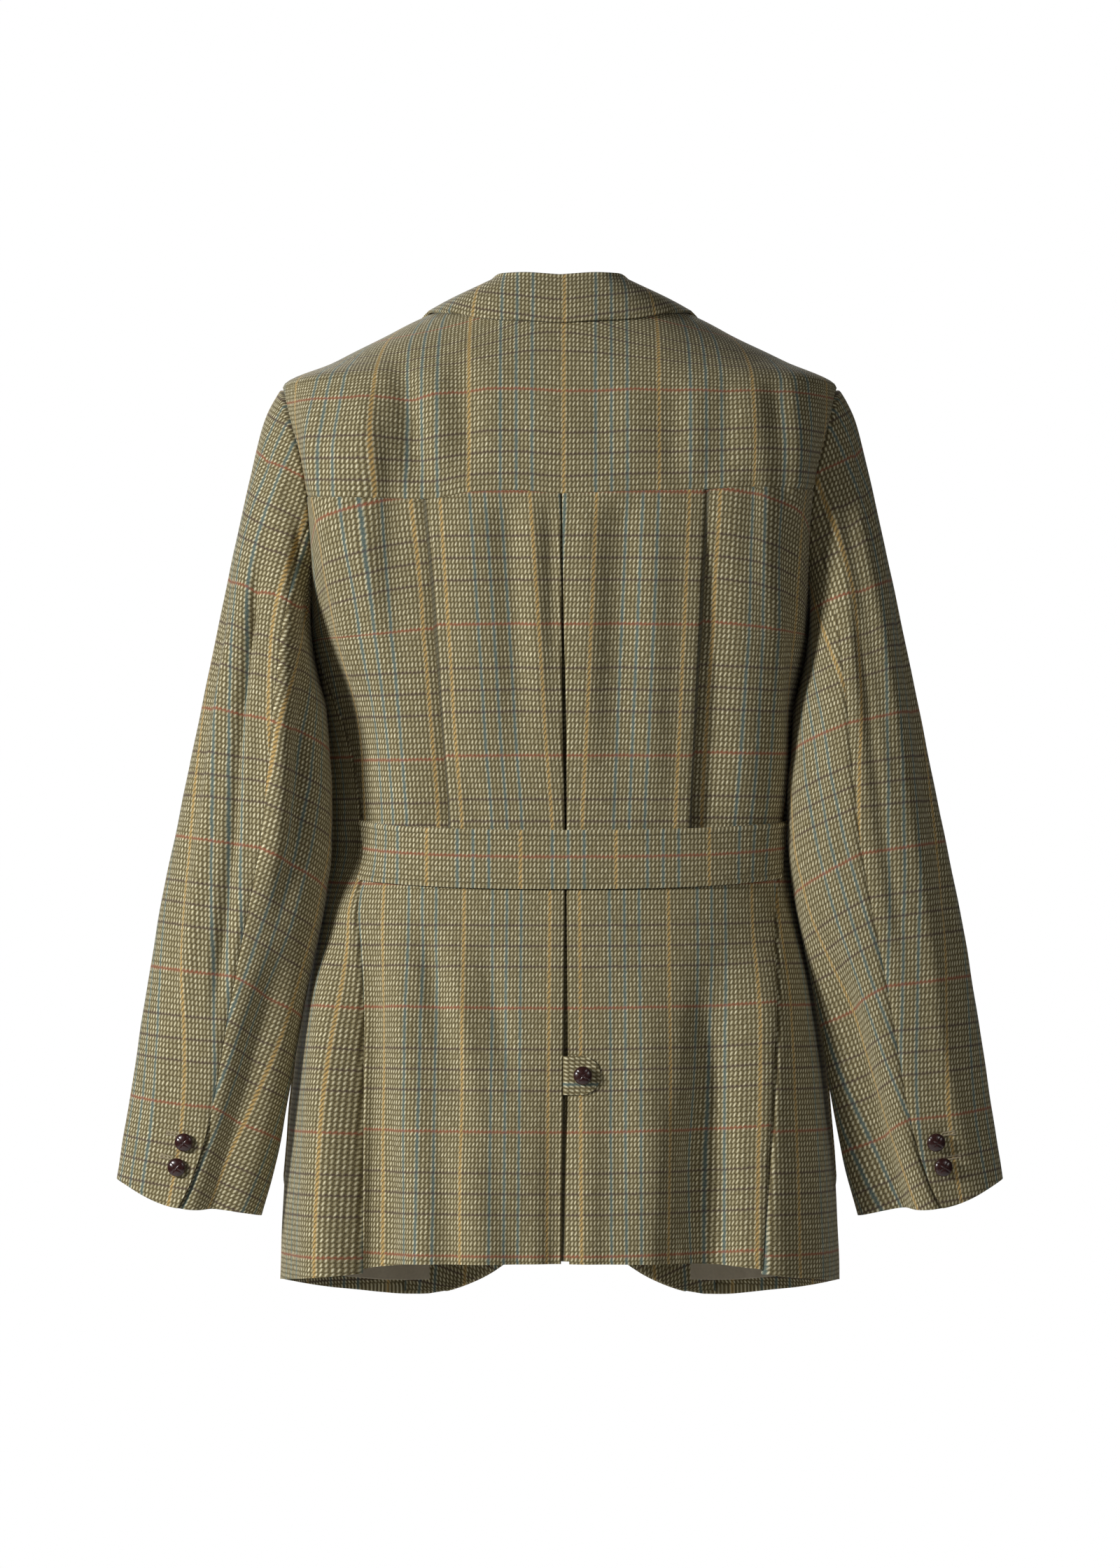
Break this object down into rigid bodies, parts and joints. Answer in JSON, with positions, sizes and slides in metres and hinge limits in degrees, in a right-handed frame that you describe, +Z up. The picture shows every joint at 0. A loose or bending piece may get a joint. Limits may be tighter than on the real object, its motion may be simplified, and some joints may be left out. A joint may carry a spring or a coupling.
{
  "type": "hunting jacket",
  "caption": "Hollow checked tweed hunting jacket with a yoke, pleated back, half belt, buttoned centre vent, notch collar, patch pockets and two-piece sleeves.",
  "frame": {"origin": "on the centre line between the shoulders, at the height where the collar meets the shoulder line, where a wearer holds it up", "axes": "+Z up, the fronts face -Y, +X towards the wearer's left sleeve"},
  "size_m": [0.7046, 0.2649, 0.8224],
  "materials": {
    "back_yoke": "woven wool tweed, matt",
    "back_upper": "woven wool tweed, matt",
    "back_skirt": "woven wool tweed, matt",
    "half_belt": "woven wool tweed, matt",
    "vent_tab": "woven wool tweed, matt",
    "collar": "woven wool tweed, matt",
    "front_left": "woven wool tweed, matt",
    "lapel_left": "woven wool tweed, matt",
    "facing_left": "woven wool tweed, matt",
    "pocket_left": "woven wool tweed, matt",
    "top_sleeve_left": "woven wool tweed, matt",
    "under_sleeve_left": "woven wool tweed, matt",
    "front_right": "woven wool tweed, matt",
    "lapel_right": "woven wool tweed, matt",
    "facing_right": "woven wool tweed, matt",
    "pocket_right": "woven wool tweed, matt",
    "top_sleeve_right": "woven wool tweed, matt",
    "under_sleeve_right": "woven wool tweed, matt",
    "lining_left": "plain woven lining, soft sheen",
    "lining_right": "plain woven lining, soft sheen",
    "vent_button": "polished woven leather",
    "front_button_upper": "polished woven leather",
    "front_button_middle": "polished woven leather",
    "front_button_lower": "polished woven leather",
    "cuff_button_upper_left": "polished woven leather",
    "cuff_button_upper_right": "polished woven leather",
    "cuff_button_lower_left": "polished woven leather",
    "cuff_button_lower_right": "polished woven leather"
  },
  "bodies": {
    "root": {"back_yoke": "back_yoke", "back_upper": "back_upper", "back_skirt": "back_skirt", "half_belt": "half_belt", "vent_tab": "vent_tab", "collar": "collar", "front_left": "front_left", "lapel_left": "lapel_left", "facing_left": "facing_left", "pocket_left": "pocket_left", "top_sleeve_left": "top_sleeve_left", "under_sleeve_left": "under_sleeve_left", "front_right": "front_right", "lapel_right": "lapel_right", "facing_right": "facing_right", "pocket_right": "pocket_right", "top_sleeve_right": "top_sleeve_right", "under_sleeve_right": "under_sleeve_right", "lining_left": "lining_left", "lining_right": "lining_right", "vent_button": "vent_button", "front_button_upper": "front_button_upper", "front_button_middle": "front_button_middle", "front_button_lower": "front_button_lower", "cuff_button_upper_left": "cuff_button_upper_left", "cuff_button_upper_right": "cuff_button_upper_right", "cuff_button_lower_left": "cuff_button_lower_left", "cuff_button_lower_right": "cuff_button_lower_right"}
  },
  "joints": []
}
